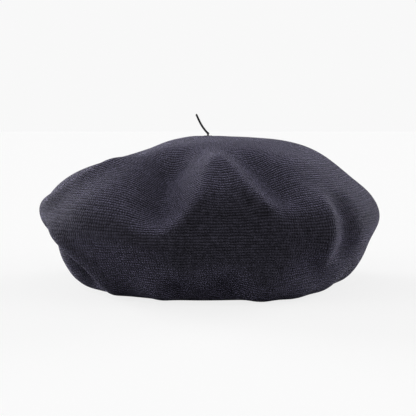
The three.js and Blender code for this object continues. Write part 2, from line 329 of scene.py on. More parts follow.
class TrimSettings(bpy.types.PropertyGroup):
    thread_radius: length_setting("Thread radius", "Radius of the sewing thread", 0.25, precision=5)
    thread_colour: colour_setting("Thread colour", "Colour of the sewing thread", (0.020, 0.019, 0.028))
    ribbon_colour: colour_setting(
        "Ribbon colour", "Colour of the grosgrain sweatband", (0.012, 0.012, 0.017)
    )
    label_colour: colour_setting("Label colour", "Colour of the blank woven label", (0.27, 0.26, 0.30))
    tag_colour: colour_setting("Tag colour", "Colour of the blank hanging tags", (0.68, 0.66, 0.62))


class StalkSettings(bpy.types.PropertyGroup):
    radius: length_setting("Stalk radius", "Radius of the lace that makes the stalk", 0.9, precision=5)
    colour: colour_setting("Lace colour", "Colour of the waxed lace", (0.006, 0.006, 0.008))


class StageSettings(bpy.types.PropertyGroup):
    elevation: FloatProperty(
        name="Camera elevation", description="Angle of the camera above the level",
        default=math.radians(4.5), subtype="ANGLE",
    )
    distance: FloatProperty(
        name="Camera distance", description="Distance from the camera to the hat",
        default=0.825, unit="LENGTH",
    )
    floor_colour: colour_setting(
        "Floor colour", "Colour of the floor and of the backdrop behind it", (0.94, 0.94, 0.94)
    )
    floor_bounce: colour_setting(
        "Floor bounce", "Colour of the light that the floor throws back up", (0.12, 0.12, 0.12)
    )
    floor_glow: FloatProperty(
        name="Floor glow", description="Share of the floor's white that shadows leave alone",
        default=0.85, min=0, max=1,
    )
    ambient: FloatProperty(
        name="Ambient light", description="Strength of the light from all round", default=0.82, min=0,
    )


# ------------------------------------------------------------------ node helpers


def add_node(tree, kind, inputs=None, **settings):
    """A node with its settings made and its inputs linked or filled."""
    made = tree.nodes.new(kind)
    for name, value in settings.items():
        setattr(made, name, value)
    for name, value in (inputs or {}).items():
        if isinstance(value, bpy.types.NodeSocket):
            tree.links.new(value, made.inputs[name])
        else:
            made.inputs[name].default_value = value
    return made


def calculate(tree, operation, *values):
    """Output of a Math node."""
    return add_node(tree, "ShaderNodeMath", dict(enumerate(values)), operation=operation).outputs[0]


def plus_part(tree, value, other, factor):
    """A value with some of another added to it."""
    return calculate(tree, "ADD", value, calculate(tree, "MULTIPLY", other, factor))


def ridges(tree, value):
    """Rounded ridges, with a groove at each whole number."""
    share = calculate(tree, "PINGPONG", value, 0.5)
    return calculate(tree, "SINE", calculate(tree, "MULTIPLY", share, math.pi))


def blend_values(tree, share, low, high):
    """Output of a float Mix node."""
    mix = add_node(tree, "ShaderNodeMix", data_type="FLOAT")
    for index, value in zip((0, 2, 3), (share, low, high)):
        if isinstance(value, bpy.types.NodeSocket):
            tree.links.new(value, mix.inputs[index])
        else:
            mix.inputs[index].default_value = value
    return mix.outputs[0]


def new_group(name, inputs, outputs):
    """An empty shader node group, its input node and its output node."""
    group = bpy.data.node_groups.new(name, "ShaderNodeTree")
    for socket, kind, default in inputs:
        made = group.interface.new_socket(socket, in_out="INPUT", socket_type=kind)
        if default is not None:
            made.default_value = default
    for socket in outputs:
        group.interface.new_socket(socket, in_out="OUTPUT", socket_type="NodeSocketFloat")
    return group, add_node(group, "NodeGroupInput").outputs, add_node(group, "NodeGroupOutput").inputs


def use_group(tree, group, inputs):
    return add_node(tree, "ShaderNodeGroup", inputs, node_tree=group).outputs


def new_material(name):
    """A material, its node tree, its Principled shader's inputs and its object coordinates."""
    material = bpy.data.materials.new(name)
    material.use_nodes = True
    tree = material.node_tree
    shader = tree.nodes["Principled BSDF"].inputs
    place = add_node(tree, "ShaderNodeTexCoord").outputs["Object"]
    return material, tree, shader, place


def set_colour(tree, shader, shade, colour, dark, light):
    """The base colour runs from a darker to a lighter shade of one colour."""
    ramp = add_node(tree, "ShaderNodeValToRGB", {"Fac": shade})
    for element, factor in zip(ramp.color_ramp.elements, (dark, light)):
        element.color = (*[min(channel * factor, 1) for channel in colour], 1)
    tree.links.new(ramp.outputs["Color"], shader["Base Color"])


def set_bump(tree, shader, height, distance):
    bump = add_node(tree, "ShaderNodeBump", {"Height": height, "Distance": distance, "Strength": 1.0})
    tree.links.new(bump.outputs["Normal"], shader["Normal"])


# ------------------------------------------------------------------ shared surface effects


def knit_group():
    """Purl side of a fine knit. The map counts wales across and courses along."""
    group, given, made = new_group(
        "knit", [("Map", "NodeSocketVector", None)], ["Height", "Bead", "Yarn"]
    )
    place = given["Map"]
    parts = add_node(group, "ShaderNodeSeparateXYZ", {"Vector": place}).outputs
    wander = add_node(group, "ShaderNodeTexNoise", {"Vector": place, "Scale": 0.35, "Detail": 2.0}).outputs[0]
    course = plus_part(group, parts["Y"], wander, 0.9)
    row = calculate(group, "FLOOR", course)
    across = plus_part(group, parts["X"], row, 0.5)
    across = plus_part(group, across, wander, 1.5)
    column = ridges(group, calculate(group, "ADD", parts["X"], wander))
    ridge = ridges(group, course)
    rounded = calculate(group, "POWER", ridges(group, across), 0.6)
    height = calculate(group, "MULTIPLY", ridge, blend_values(group, 0.55, 1.0, rounded))
    group.links.new(blend_values(group, 0.25, height, column), made["Height"])
    # The bead, the raised loops, is what the wool's colour uses for its painted shade in the grooves
    bead = calculate(group, "MULTIPLY", ridge, rounded)
    group.links.new(blend_values(group, 0.25, bead, column), made["Bead"])
    wale = calculate(group, "FLOOR", across)
    cell = add_node(group, "ShaderNodeCombineXYZ", {"X": wale, "Y": row}).outputs[0]
    yarn = add_node(group, "ShaderNodeTexWhiteNoise", {"Vector": cell}, noise_dimensions="2D")
    group.links.new(yarn.outputs["Value"], made["Yarn"])
    return group


def fibre_group():
    """Loose fibres on wool: fine uneven streaks and clumps, from object coordinates."""
    sockets = [("Place", "NodeSocketVector", None), ("Fineness", "NodeSocketFloat", 1500.0)]
    group, given, made = new_group("fibre", sockets, ["Fibre", "Clump"])
    fine = add_node(
        group, "ShaderNodeTexNoise",
        {"Vector": given["Place"], "Scale": given["Fineness"], "Detail": 3.0, "Roughness": 0.7},
    )
    clump = add_node(group, "ShaderNodeTexNoise", {"Vector": given["Place"], "Scale": 220.0, "Detail": 4.0})
    spread = add_node(
        group, "ShaderNodeMapRange", {"Value": clump.outputs[0], "From Min": 0.3, "From Max": 0.7}
    ).outputs[0]
    group.links.new(fine.outputs[0], made["Fibre"])
    group.links.new(spread, made["Clump"])
    return group


def rib_group():
    """Close ribs of a ribbon or tape. The map counts ribs across and picks along."""
    group, given, made = new_group("rib", [("Map", "NodeSocketVector", None)], ["Height", "Pick"])
    parts = add_node(group, "ShaderNodeSeparateXYZ", {"Vector": given["Map"]}).outputs
    rib, pick = ridges(group, parts["X"]), ridges(group, parts["Y"])
    group.links.new(plus_part(group, rib, pick, 0.25), made["Height"])
    group.links.new(pick, made["Pick"])
    return group


def twist_group():
    """Plies wound round a thread or lace. The map runs once round across, and along by diameters."""
    sockets = [("Map", "NodeSocketVector", None), ("Plies", "NodeSocketFloat", 3.0)]
    group, given, made = new_group("twist", sockets, ["Height"])
    parts = add_node(group, "ShaderNodeSeparateXYZ", {"Vector": given["Map"]}).outputs
    phase = plus_part(group, parts["X"], parts["Y"], 0.35)
    group.links.new(ridges(group, calculate(group, "MULTIPLY", phase, given["Plies"])), made["Height"])
    return group


GROUPS = {}


def shared(name):
    """A shared node group, made when it is first needed."""
    makers = {"knit": knit_group, "fibre": fibre_group, "rib": rib_group, "twist": twist_group}
    if name not in GROUPS:
        GROUPS[name] = makers[name]()
    return GROUPS[name]


def map_of(tree, name):
    return add_node(tree, "ShaderNodeUVMap", uv_map=name).outputs["UV"]


# ------------------------------------------------------------------ materials


def knit_material(settings):
    material, tree, shader, place = new_material("wool_knit")
    knit = use_group(tree, shared("knit"), {"Map": map_of(tree, "knit")})
    fibre = use_group(tree, shared("fibre"), {"Place": place})
    # Painted shade: the wool's colour is darker in the grooves between the raised loops and lighter on them,
    # with the yarn's real random tone and clumps mixed in
    shade = calculate(tree, "MULTIPLY", knit["Bead"], 0.5)
    shade = plus_part(tree, shade, knit["Yarn"], 0.28)
    shade = plus_part(tree, shade, fibre["Clump"], 0.22)
    set_colour(tree, shader, shade, settings.yarn_colour, 0.0, 2.2)
    height = plus_part(tree, knit["Height"], fibre["Fibre"], 0.35)
    height = plus_part(tree, height, fibre["Clump"], 0.2)
    set_bump(tree, shader, height, 1.8 * MM)
    shader["Sheen Weight"].default_value = 0.33
    shader["Roughness"].default_value = 0.95
    shader["Specular IOR Level"].default_value = 0.15
    shader["Sheen Roughness"].default_value = 0.25
    shader["Sheen Tint"].default_value = (0.68, 0.64, 1.0, 1.0)
    return material


def thread_material(settings):
    material, tree, shader, place = new_material("sewing_thread")
    fibre = use_group(tree, shared("fibre"), {"Place": place, "Fineness": 3000.0})
    set_colour(tree, shader, fibre["Fibre"], settings.thread_colour, 0.7, 1.5)
    set_bump(tree, shader, fibre["Fibre"], 0.05 * MM)
    shader["Roughness"].default_value = 0.6
    shader["Sheen Weight"].default_value = 0.2
    return material


def tape_material(name, colour, roughness, sheen):
    """Ribbed tape: ribbon, elastic or woven label, each with its own colour and gloss."""
    material, tree, shader, place = new_material(name)
    rib = use_group(tree, shared("rib"), {"Map": map_of(tree, "rib")})
    fibre = use_group(tree, shared("fibre"), {"Place": place})
    # Painted shade: the tape's colour is darker in the grooves between its ribs, with a real uneven tone from
    # fibre clumps mixed in
    shade = blend_values(tree, 0.3, rib["Height"], fibre["Clump"])
    set_colour(tree, shader, shade, colour, 0.65, 1.35)
    set_bump(tree, shader, rib["Height"], 0.15 * MM)
    tree.links.new(blend_values(tree, rib["Pick"], roughness, roughness - 0.12), shader["Roughness"])
    shader["Sheen Weight"].default_value = sheen
    return material


def felt_material(colour):
    material, tree, shader, place = new_material("wool_felt")
    fibre = use_group(tree, shared("fibre"), {"Place": place, "Fineness": 900.0})
    shade = blend_values(tree, 0.5, fibre["Fibre"], fibre["Clump"])
    set_colour(tree, shader, shade, colour, 0.5, 1.7)
    set_bump(tree, shader, fibre["Fibre"], 0.3 * MM)
    shader["Roughness"].default_value = 0.97
    shader["Sheen Weight"].default_value = 0.4
    return material


def lace_material(settings):
    material, tree, shader, place = new_material("waxed_lace")
    twist = use_group(tree, shared("twist"), {"Map": map_of(tree, "twist"), "Plies": 4.0})
    fibre = use_group(tree, shared("fibre"), {"Place": place, "Fineness": 2500.0})
    # Painted shade: the lace's colour is darker in the grooves between its plies, with a real uneven tone
    # from fibre clumps mixed in
    shade = blend_values(tree, 0.4, twist["Height"], fibre["Clump"])
    set_colour(tree, shader, shade, settings.colour, 0.7, 1.8)
    set_bump(tree, shader, twist["Height"], 0.12 * MM)
    tree.links.new(blend_values(tree, fibre["Fibre"], 0.42, 0.6), shader["Roughness"])
    shader["Specular IOR Level"].default_value = 0.35
    return material


# ------------------------------------------------------------------ mesh helpers


def finish_piece(name, shape, material, node, body="hat"):
    """Makes an object of a bmesh with its material, attaches it to its body and hides the CAD node it stands
    for.
    """
    mesh = bpy.data.meshes.new(name)
    shape.to_mesh(mesh)
    shape.free()
    for face in mesh.polygons:
        face.use_smooth = True
    mesh.materials.append(material)
    piece = bpy.data.objects.new(name, mesh)
    bpy.context.scene.collection.objects.link(piece)
    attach(piece, body)
    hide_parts(node)
    return piece


def add_subdivision(piece, levels):
    modifier = piece.modifiers.new("subdivision", "SUBSURF")
    modifier.levels = levels
    modifier.render_levels = levels
    return modifier


def place_on(origin, along, up):
    """Matrix that puts local X along a direction and local Z near another, at an origin."""
    x = along.normalized()
    y = up.cross(x).normalized()
    z = x.cross(y)
    return Matrix.Translation(origin) @ Matrix((x, y, z)).transposed().to_4x4()


def add_stitch(shape, start, end, up, radius):
    """One stitch: a short rounded length of thread from one point to another, in metres."""
    along = end - start
    matrix = place_on((start + end) / 2, along, up)
    size = Matrix.Diagonal((along.length / 2 + radius * 0.6, radius, radius, 1))
    turned = Matrix.Rotation(math.pi / 2, 4, "Y")
    bmesh.ops.create_uvsphere(shape, u_segments=6, v_segments=5, radius=1, matrix=matrix @ size @ turned)


def add_round_of_stitches(shape, radius, height, count, shares, thread_radius):
    """Level stitches round the hat's axis. Each fills its place in the round between two shares of it."""
    for i in range(count):
        start, end = [to_row(around_axis(radius, 360 * (i + share) / count, height)) for share in shares]
        add_stitch(shape, start, end, Vector((0, 0, 1)), thread_radius)


def add_tube(shape, points, radius, sides, map_name=None):
    """A round tube with domed ends that follows the points, in metres."""
    layer = shape.loops.layers.uv.new(map_name) if map_name else None
    directions = []
    for i in range(len(points)):
        directions.append((points[min(i + 1, len(points) - 1)] - points[max(i - 1, 0)]).normalized())
    side = directions[0].orthogonal().normalized()
    rings = []
    run = 0
    runs = []
    stations = [(point, direction, radius) for point, direction in zip(points, directions)]
    for angle in (math.pi / 6, math.pi / 3):
        sink, wide = radius * math.sin(angle), radius * math.cos(angle)
        stations.insert(0, (points[0] - directions[0] * sink, directions[0], wide))
        stations.append((points[-1] + directions[-1] * sink, directions[-1], wide))
    for i, (centre, direction, wide) in enumerate(stations):
        side = (side - direction * side.dot(direction)).normalized()
        if i:
            run += (centre - stations[i - 1][0]).length
        runs.append(run / (2 * radius))
        matrix = place_on(centre, side, direction)
        circle = bmesh.ops.create_circle(shape, segments=sides, radius=wide, matrix=matrix)
        rings.append(circle["verts"])
    for i in range(len(rings) - 1):
        for j in range(sides):
            k = (j + 1) % sides
            face = shape.faces.new((rings[i][j], rings[i][k], rings[i + 1][k], rings[i + 1][j]))
            if layer:
                corners = ((j, i), (j + 1, i), (j + 1, i + 1), (j, i + 1))
                for loop, (turn, ring) in zip(face.loops, corners):
                    loop[layer].uv = (turn / sides, runs[ring])
    shape.faces.new(list(reversed(rings[0])))
    shape.faces.new(rings[-1])


def angles_round(face):
    """A face's corners, each with its angle round the hat's axis, on the same turn as the face's middle."""
    middle = face.calc_center_median() - AXIS
    middle_angle = math.atan2(middle.y, middle.x)
    for loop in face.loops:
        place = loop.vert.co - AXIS
        angle = math.atan2(place.y, place.x) - middle_angle
        yield loop, (angle + math.pi) % ROUND - math.pi + middle_angle


def spin_section(shape, section, start_azimuth, turn, steps):
    """Turns an open or closed section, as (radius, height) in millimetres, round the hat's axis."""
    points = [to_row(around_axis(radius, start_azimuth, height)) for radius, height in section]
    verts = [shape.verts.new(point) for point in points]
    edges = [shape.edges.new(pair) for pair in zip(verts, verts[1:])]
    bmesh.ops.spin(
        shape, geom=verts + edges, cent=AXIS, axis=(0, 0, 1), angle=math.radians(turn), steps=steps,
        use_merge=turn == 360,
    )


def make_strip(tape, start_azimuth, turn, steps, ribs_per_mm, picks_per_mm):
    """A curved tape with rounded edges round the hat's axis, closed at its ends, with its rib map."""
    inner, outer, low, high = tape["inner"], tape["outer"], tape["low"], tape["high"]
    shape = bmesh.new()
    edge = min(0.3, (outer - inner) * 0.35)
    section = [
        (inner, low + edge), (inner, (low * 2 + high) / 3), (inner, (low + high * 2) / 3),
        (inner, high - edge), (inner + edge, high), (outer - edge, high), (outer, high - edge),
        (outer, (low + high * 2) / 3), (outer, (low * 2 + high) / 3), (outer, low + edge),
        (outer - edge, low), (inner + edge, low),
    ]
    spin_section(shape, section + section[:1], start_azimuth, turn, steps)
    bmesh.ops.remove_doubles(shape, verts=shape.verts, dist=1e-6)
    ends = [edge for edge in shape.edges if edge.is_boundary]
    bmesh.ops.holes_fill(shape, edges=ends, sides=0)
    bmesh.ops.recalc_face_normals(shape, faces=shape.faces)
    layer = shape.loops.layers.uv.new("rib")
    middle = (inner + outer) / 2
    for face in shape.faces:
        for loop, angle in angles_round(face):
            loop[layer].uv = (angle * middle * ribs_per_mm, loop.vert.co.z / MM * picks_per_mm)
    return shape


def materials_of_trim():
    """The trim's materials, made once and found again by name."""
    settings = bpy.context.scene.beret_trim
    makers = {
        "sewing_thread": lambda: thread_material(settings),
        "grosgrain": lambda: tape_material("grosgrain", settings.ribbon_colour, 0.62, 0.25),
        "braided_elastic": lambda: tape_material("braided_elastic", settings.ribbon_colour, 0.75, 0.1),
        "woven_label": lambda: tape_material("woven_label", settings.label_colour, 0.45, 0.2),
        "satin_tag": lambda: tape_material("satin_tag", settings.tag_colour, 0.4, 0.1),
        "wool_felt": lambda: felt_material(settings.thread_colour),
    }
    for name, make in makers.items():
        if name not in bpy.data.materials:
            make()
    return bpy.data.materials


def finish_stitches(name, shape, node):
    finish_piece(name, shape, materials_of_trim()["sewing_thread"], node)


# ------------------------------------------------------------------ knitted shell


FULL_ROUND_RADIUS = 100  # the crown has all its wales from here outwards
LEAST_SHARE = 1 / 16


def spin_shell(settings):
    """The shell's outer face, still round, with each vertex's run kept for the folds and the map."""
    shape = bmesh.new()
    run_layer = shape.verts.layers.float.new("run")
    verts = []
    for step in range(settings.along + 1):
        run = EYELET_RADIUS + (SECTION.end_run - EYELET_RADIUS) * step / settings.along
        (radius, height), _ = SECTION.at(run)
        vert = shape.verts.new(to_row(around_axis(radius, 0, height)))
        vert[run_layer] = run
        verts.append(vert)
    edges = [shape.edges.new(pair) for pair in zip(verts, verts[1:])]
    bmesh.ops.spin(
        shape, geom=verts + edges, cent=AXIS, axis=(0, 0, 1), angle=ROUND, steps=settings.around,
        use_merge=True,
    )
    bmesh.ops.recalc_face_normals(shape, faces=shape.faces)
    top = max(shape.faces, key=lambda face: face.calc_center_median().z)
    if top.normal.z < 0:
        bmesh.ops.reverse_faces(shape, faces=shape.faces)
    return shape, run_layer


def fold_shell(shape, run_layer):
    for vert in shape.verts:
        place = vert.co - AXIS
        azimuth = math.degrees(math.atan2(place.y, place.x)) + 90
        vert.co = to_row(shell_point(azimuth, vert[run_layer]))


def map_knit(shape, run_layer, settings):
    """Counts wales and courses over the shell. The stitches of a round halve where the crown narrows."""
    layer = shape.loops.layers.uv.new("knit")
    pitch = settings.course_pitch / MM
    for face in shape.faces:
        run = sum(vert[run_layer] for vert in face.verts) / len(face.verts)
        (radius, _), _ = SECTION.at(run)
        share = 1
        while share > LEAST_SHARE and radius < FULL_ROUND_RADIUS * share:
            share /= 2
        for loop, angle in angles_round(face):
            loop[layer].uv = (angle / ROUND * settings.wales * share, loop.vert[run_layer] / pitch)


class BERET_OT_knit_shell(bpy.types.Operator):
    """Knits the folded shell of the beret, with its turned-up hem"""

    bl_idname = "beret.knit_shell"
    bl_label = "Knitted shell"

    def execute(self, context):
        settings = context.scene.beret_shell
        shape, run_layer = spin_shell(settings)
        map_knit(shape, run_layer, settings)
        fold_shell(shape, run_layer)
        piece = finish_piece("knit_shell", shape, knit_material(settings), "knit_body")
        wall = piece.modifiers.new("cloth thickness", "SOLIDIFY")
        wall.thickness = settings.thickness
        wall.offset = -1
        add_subdivision(piece, 1)
        return {"FINISHED"}


# ------------------------------------------------------------------ stage

VIEW_HEIGHT = 61.5  # the camera looks at this height on the hat's axis
LENS = 85
FLOOR_REACH = 200  # metres from the middle to each side

# Broad soft lights: the direction that each comes from, its spread in degrees and its strength.
STUDIO_LIGHTS = {
    "side_left": ((-1.0, -0.25, 0.1), 60, 2.7),
    "side_right": ((1.0, -0.25, 0.1), 60, 2.0),
    "rim_left": ((-1.0, 0.9, 0.2), 30, 5.5),
    "rim_right": ((1.0, 0.9, 0.2), 30, 3.4),
}


def light_and_show(tree, output, lighting, shown):
    """One shader lights the scene, and the camera sees the other."""
    camera_ray = add_node(tree, "ShaderNodeLightPath").outputs["Is Camera Ray"]
    mix = add_node(tree, "ShaderNodeMixShader", {0: camera_ray, 1: lighting, 2: shown}).outputs[0]
    tree.links.new(mix, tree.nodes[output].inputs["Surface"])


class BERET_OT_stage(bpy.types.Operator):
    """Sets up the floor, the studio lights and the camera"""

    bl_idname = "beret.stage"
    bl_label = "Studio stage"

    def execute(self, context):
        settings = context.scene.beret_stage
        self.add_floor(context, settings)
        self.add_world(context, settings)
        for name, (direction, spread, strength) in STUDIO_LIGHTS.items():
            self.add_light(context, name, direction, spread, strength)
        self.add_camera(context, settings)
        context.scene.view_settings.view_transform = "Standard"
        return {"FINISHED"}

    def add_floor(self, context, settings):
        """A card that shows nearly white and throws little light back up, as over a dark cloth."""
        shape = bmesh.new()
        bmesh.ops.create_grid(shape, x_segments=1, y_segments=1, size=FLOOR_REACH)
        mesh = bpy.data.meshes.new("floor")
        shape.to_mesh(mesh)
        shape.free()
        material, tree, shader, _ = new_material("floor_card")
        shader["Base Color"].default_value = (*settings.floor_bounce, 1)
        shader["Roughness"].default_value = 1.0
        shader["Specular IOR Level"].default_value = 0.0
        white = (*settings.floor_colour, 1)
        matte = add_node(tree, "ShaderNodeBsdfDiffuse", {"Color": white}).outputs[0]
        glow = add_node(tree, "ShaderNodeEmission", {"Color": white, "Strength": 1.0}).outputs[0]
        shown = add_node(tree, "ShaderNodeMixShader", {0: settings.floor_glow, 1: matte, 2: glow}).outputs[0]
        light_and_show(tree, "Material Output", tree.nodes["Principled BSDF"].outputs[0], shown)
        mesh.materials.append(material)
        floor = bpy.data.objects.new("floor", mesh)
        context.scene.collection.objects.link(floor)

    def add_world(self, context, settings):
        world = bpy.data.worlds.new("studio")
        context.scene.world = world
        world.use_nodes = True
        tree = world.node_tree
        white = (*settings.floor_colour, 1)
        seen = add_node(tree, "ShaderNodeBackground", {"Color": white, "Strength": 1.0}).outputs[0]
        direction = add_node(tree, "ShaderNodeTexCoord").outputs["Generated"]
        depth = add_node(tree, "ShaderNodeSeparateXYZ", {"Vector": direction}).outputs["Y"]
        share = add_node(
            tree, "ShaderNodeMapRange", {"Value": depth, "From Min": -0.2, "From Max": 0.9},
            interpolation_type="SMOOTHSTEP",
        ).outputs[0]
        strength = blend_values(tree, share, settings.ambient * 0.55, settings.ambient)
        light = add_node(tree, "ShaderNodeBackground", {"Strength": strength}).outputs[0]
        light_and_show(tree, "World Output", light, seen)

    def add_light(self, context, name, direction, spread, strength):
        light = bpy.data.lights.new(name, "SUN")
        light.energy = strength
        light.angle = math.radians(spread)
        lamp = bpy.data.objects.new(name, light)
        context.scene.collection.objects.link(lamp)
        lamp.rotation_euler = Vector(direction).to_track_quat("Z", "Y").to_euler()

    def add_camera(self, context, settings):
        camera = bpy.data.cameras.new("camera")
        camera.lens = LENS
        viewer = bpy.data.objects.new("camera", camera)
        context.scene.collection.objects.link(viewer)
        target = to_row(Vector((0, 0, VIEW_HEIGHT)))
        back = Vector((0, -math.cos(settings.elevation), math.sin(settings.elevation)))
        viewer.location = target + back * settings.distance
        viewer.rotation_euler = back.to_track_quat("Z", "Y").to_euler()
        context.scene.camera = viewer


# ------------------------------------------------------------------ hem: elastic and its threads

BAND = {"inner": 87.8, "outer": 88.8, "low": 1.5, "high": 27.0}
STITCH_HEIGHT = 3.4  # of the row that holds the band
ELASTIC = {"inner": 91.6, "outer": 92.8, "low": 2.4, "high": 10.4}
ZIGZAG = {"start": BACK + 3, "turn": 354, "legs": 300, "heights": (4.4, 8.4)}
BARTACK = {"low": 3.8, "rise": 5.2, "bars": 9, "half_turn": 0.8}


class BERET_OT_elastic(bpy.types.Operator):
    """Makes the elastic behind the hem, its zigzag thread and the bar of thread over its join"""

    bl_idname = "beret.elastic"
    bl_label = "Hem elastic"

    def execute(self, context):
        settings = context.scene.beret_trim
        materials = materials_of_trim()
        shape = make_strip(ELASTIC, BACK + 0.3, 359.4, 180, 0.25, 1.1)
        finish_piece("hem_elastic_tape", shape, materials["braided_elastic"], "hem_elastic")
        radius = settings.thread_radius
        face = ELASTIC["outer"] + GAP
        shape = bmesh.new()
        for i in range(ZIGZAG["legs"]):
            azimuths = [ZIGZAG["start"] + ZIGZAG["turn"] * j / ZIGZAG["legs"] for j in (i, i + 1)]
            heights = [ZIGZAG["heights"][j % 2] for j in (i, i + 1)]
            start, end = [to_row(around_axis(face, *place)) for place in zip(azimuths, heights)]
            add_stitch(shape, start, end, around_axis(1, azimuths[0], 0), radius)
        finish_stitches("elastic_zigzag", shape, "elastic_zigzag_thread")
        shape = bmesh.new()
        for i in range(BARTACK["bars"]):
            height = BARTACK["low"] + BARTACK["rise"] * i / (BARTACK["bars"] - 1)
            turns = (-BARTACK["half_turn"], BARTACK["half_turn"])
            start, end = [to_row(around_axis(face + 0.1, BACK + turn, height)) for turn in turns]
            add_stitch(shape, start, end, Vector((0, 1, 0)), radius)
        finish_stitches("elastic_bar", shape, "elastic_bartack")
        return {"FINISHED"}


class BERET_OT_sweatband(bpy.types.Operator):
    """Makes the grosgrain ribbon inside the opening and the row of stitches that holds it"""

    bl_idname = "beret.sweatband"
    bl_label = "Sweatband"

    def execute(self, context):
        settings = context.scene.beret_trim
        materials = materials_of_trim()
        shape = make_strip(BAND, BACK + 0.4, 359.2, 240, 0.7, 2.5)
        ribbon = finish_piece("sweatband_ribbon", shape, materials["grosgrain"], "sweatband")
        shape = bmesh.new()
        radius = BAND["inner"] - GAP / 2
        add_round_of_stitches(shape, radius, STITCH_HEIGHT, 184, (0.12, 0.78), settings.thread_radius)
        finish_stitches("sweatband_stitches", shape, "sweatband_stitching")
        return {"FINISHED"}


SEAM = {
    "from_crown": 36, "above_rest": 8, "stitches": 84, "under_cloth": 0.5, "half_turn": 0.25, "slant": 1.6,
}


class BERET_OT_closing_seam(bpy.types.Operator):
    """Sews the closing seam along the inside of the centre back"""

    bl_idname = "beret.closing_seam"
    bl_label = "Closing seam"

    def execute(self, context):
        settings = context.scene.beret_trim
        shape = bmesh.new()
        depth = context.scene.beret_shell.thickness / MM + SEAM["under_cloth"]
        start_run, end_run = SEAM["from_crown"], SECTION.resting_run - SEAM["above_rest"]
        for i in range(SEAM["stitches"]):
            run = start_run + (end_run - start_run) * i / SEAM["stitches"]
            start = to_row(shell_point(BACK - SEAM["half_turn"], run, depth))
            end = to_row(shell_point(BACK + SEAM["half_turn"], run + SEAM["slant"], depth))
            add_stitch(shape, start, end, Vector((1, 0, 0)), settings.thread_radius)
        finish_stitches("closing_seam", shape, "closing_seam_thread")
        return {"FINISHED"}


MAKER_LABEL = {"inner": 86.85, "outer": 87.45, "low": 5.0, "high": 23.5, "half": 15.0}
LABEL_STITCH = 2.4  # from one stitch to the next
LABEL_INSET = 1.6  # from the label's edge to its stitches


class BERET_OT_maker_label(bpy.types.Operator):
    """Makes the blank woven label over the ribbon's join, with its stitches"""

    bl_idname = "beret.maker_label"
    bl_label = "Maker's label"

    def execute(self, context):
        settings = context.scene.beret_trim
        materials = materials_of_trim()
        label = MAKER_LABEL
        shape = make_strip(label, BACK - label["half"], label["half"] * 2, 40, 2.2, 2.2)
        satin = materials["woven_label"]
        cloth = finish_piece("maker_label_cloth", shape, satin, "maker_label")
        shape = bmesh.new()
        radius = label["inner"] - GAP / 2
        half = label["half"] - math.degrees(LABEL_INSET / radius)
        low, high = label["low"] + LABEL_INSET, label["high"] - LABEL_INSET
        corners = [(half, high), (half, low), (-half, low), (-half, high), (half, high)]
        for (start_turn, start_height), (end_turn, end_height) in zip(corners, corners[1:]):
            length = math.hypot(math.radians(end_turn - start_turn) * radius, end_height - start_height)
            count = round(length / LABEL_STITCH)
            for i in range(count):
                points = []
                for share in ((i + 0.15) / count, (i + 0.8) / count):
                    turn = start_turn + (end_turn - start_turn) * share
                    height = start_height + (end_height - start_height) * share
                    points.append(to_row(around_axis(radius, BACK + turn, height)))
                add_stitch(shape, points[0], points[1], Vector((0, 1, 0.1)), settings.thread_radius)
        finish_stitches("maker_label_stitches", shape, "maker_label_stitching")
        return {"FINISHED"}


HANGING_LABELS = {
    "care_label": {"azimuth": 150, "width": 20, "length": 19, "thickness": 0.7, "distance": 86.3},
    "size_tab": {"azimuth": 203, "width": 12, "length": 11, "thickness": 0.8, "distance": 86.5},
}
LABEL_HINGE = 25.6
LEAF_TOP = 0.16  # from the label's middle to the middle of a leaf, where it is sewn in
LEAF_INSET = 0.12  # from the label's outside to the middle of a leaf
BAR_STITCH = {"pitch": 1.2, "end": 0.8, "half_width": 0.25, "half_height": 0.45}


